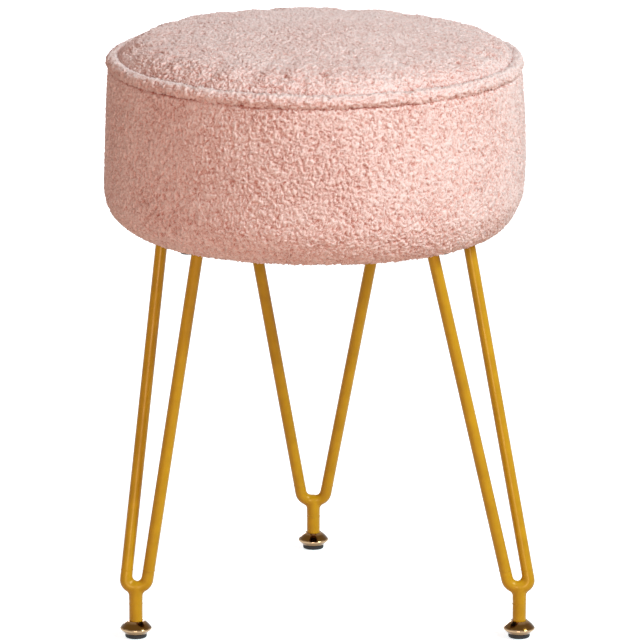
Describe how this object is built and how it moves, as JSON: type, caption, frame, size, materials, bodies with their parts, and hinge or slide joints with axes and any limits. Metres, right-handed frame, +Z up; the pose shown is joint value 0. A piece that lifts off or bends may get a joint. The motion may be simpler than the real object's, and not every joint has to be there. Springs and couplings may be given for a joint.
{
  "type": "round pouf",
  "caption": "Round drum pouf in looped pink fabric with a piped crown, on gold hairpin legs with screw levelling feet.",
  "frame": {"origin": "on the floor, under the middle of the whole part's footprint; the seat's axis stands 9.4 mm in front of it and 3.7 mm to its left", "axes": "+Z up, +Y from the front towards the rear leg, +X to the right seen from the front"},
  "size_m": [0.3174, 0.3286, 0.4415],
  "materials": {
    "pink_boucle": "matte",
    "foam": "matte",
    "cord": "matte",
    "dust_cloth": "matte",
    "plywood": "matte",
    "gold_paint": "satin",
    "plated_brass": "polished",
    "zinc_steel": "satin",
    "black_steel": "satin",
    "black_rubber": "matte"
  },
  "bodies": {
    "stool": {"base_board": "plywood", "foam_core": "foam", "cover_band": "pink_boucle", "cover_top": "pink_boucle", "welt_sleeve": "pink_boucle", "welt_cord": "cord", "dust_cover": "dust_cloth", "hem_staples": "zinc_steel", "leg_bolts": "black_steel", "leg_washers": "zinc_steel", "leg_t_nuts": "zinc_steel", "front_left_plate": "gold_paint", "front_left_hairpin": "gold_paint", "front_left_stem": "gold_paint", "front_right_plate": "gold_paint", "front_right_hairpin": "gold_paint", "front_right_stem": "gold_paint", "rear_plate": "gold_paint", "rear_hairpin": "gold_paint", "rear_stem": "gold_paint"},
    "front_left_pad": {"front_left_foot_pad": "black_rubber"},
    "front_left_foot": {"front_left_foot_cup": "plated_brass", "front_left_foot_stud": "zinc_steel"},
    "front_right_pad": {"front_right_foot_pad": "black_rubber"},
    "front_right_foot": {"front_right_foot_cup": "plated_brass", "front_right_foot_stud": "zinc_steel"},
    "rear_pad": {"rear_foot_pad": "black_rubber"},
    "rear_foot": {"rear_foot_cup": "plated_brass", "rear_foot_stud": "zinc_steel"}
  },
  "joints": [
    {"name": "front_left_foot_lift", "type": "slide", "parent": "stool", "child": "front_left_pad", "axis": [0, 0, -1], "range_m": [0, 0.008]},
    {"name": "front_left_foot_turn", "type": "hinge", "parent": "front_left_pad", "child": "front_left_foot", "pos_m": [-0.13604, -0.09035, 0.007], "axis": [0, 0, -1], "range_deg": [0, 2880]},
    {"name": "front_right_foot_lift", "type": "slide", "parent": "stool", "child": "front_right_pad", "axis": [0, 0, -1], "range_m": [0, 0.008]},
    {"name": "front_right_foot_turn", "type": "hinge", "parent": "front_right_pad", "child": "front_right_foot", "pos_m": [0.14705, -0.09035, 0.007], "axis": [0, 0, -1], "range_deg": [0, 2880]},
    {"name": "rear_foot_lift", "type": "slide", "parent": "stool", "child": "rear_pad", "axis": [0, 0, -1], "range_m": [0, 0.008]},
    {"name": "rear_foot_turn", "type": "hinge", "parent": "rear_pad", "child": "rear_foot", "pos_m": [-0.00525, 0.15265, 0.007], "axis": [0, 0, -1], "range_deg": [0, 2880]}
  ],
  "couplings": [
    {"joint": "front_left_foot_lift", "follows": "front_left_foot_turn", "m_per_rad": 0.00015915},
    {"joint": "front_right_foot_lift", "follows": "front_right_foot_turn", "m_per_rad": 0.00015915},
    {"joint": "rear_foot_lift", "follows": "rear_foot_turn", "m_per_rad": 0.00015915}
  ]
}
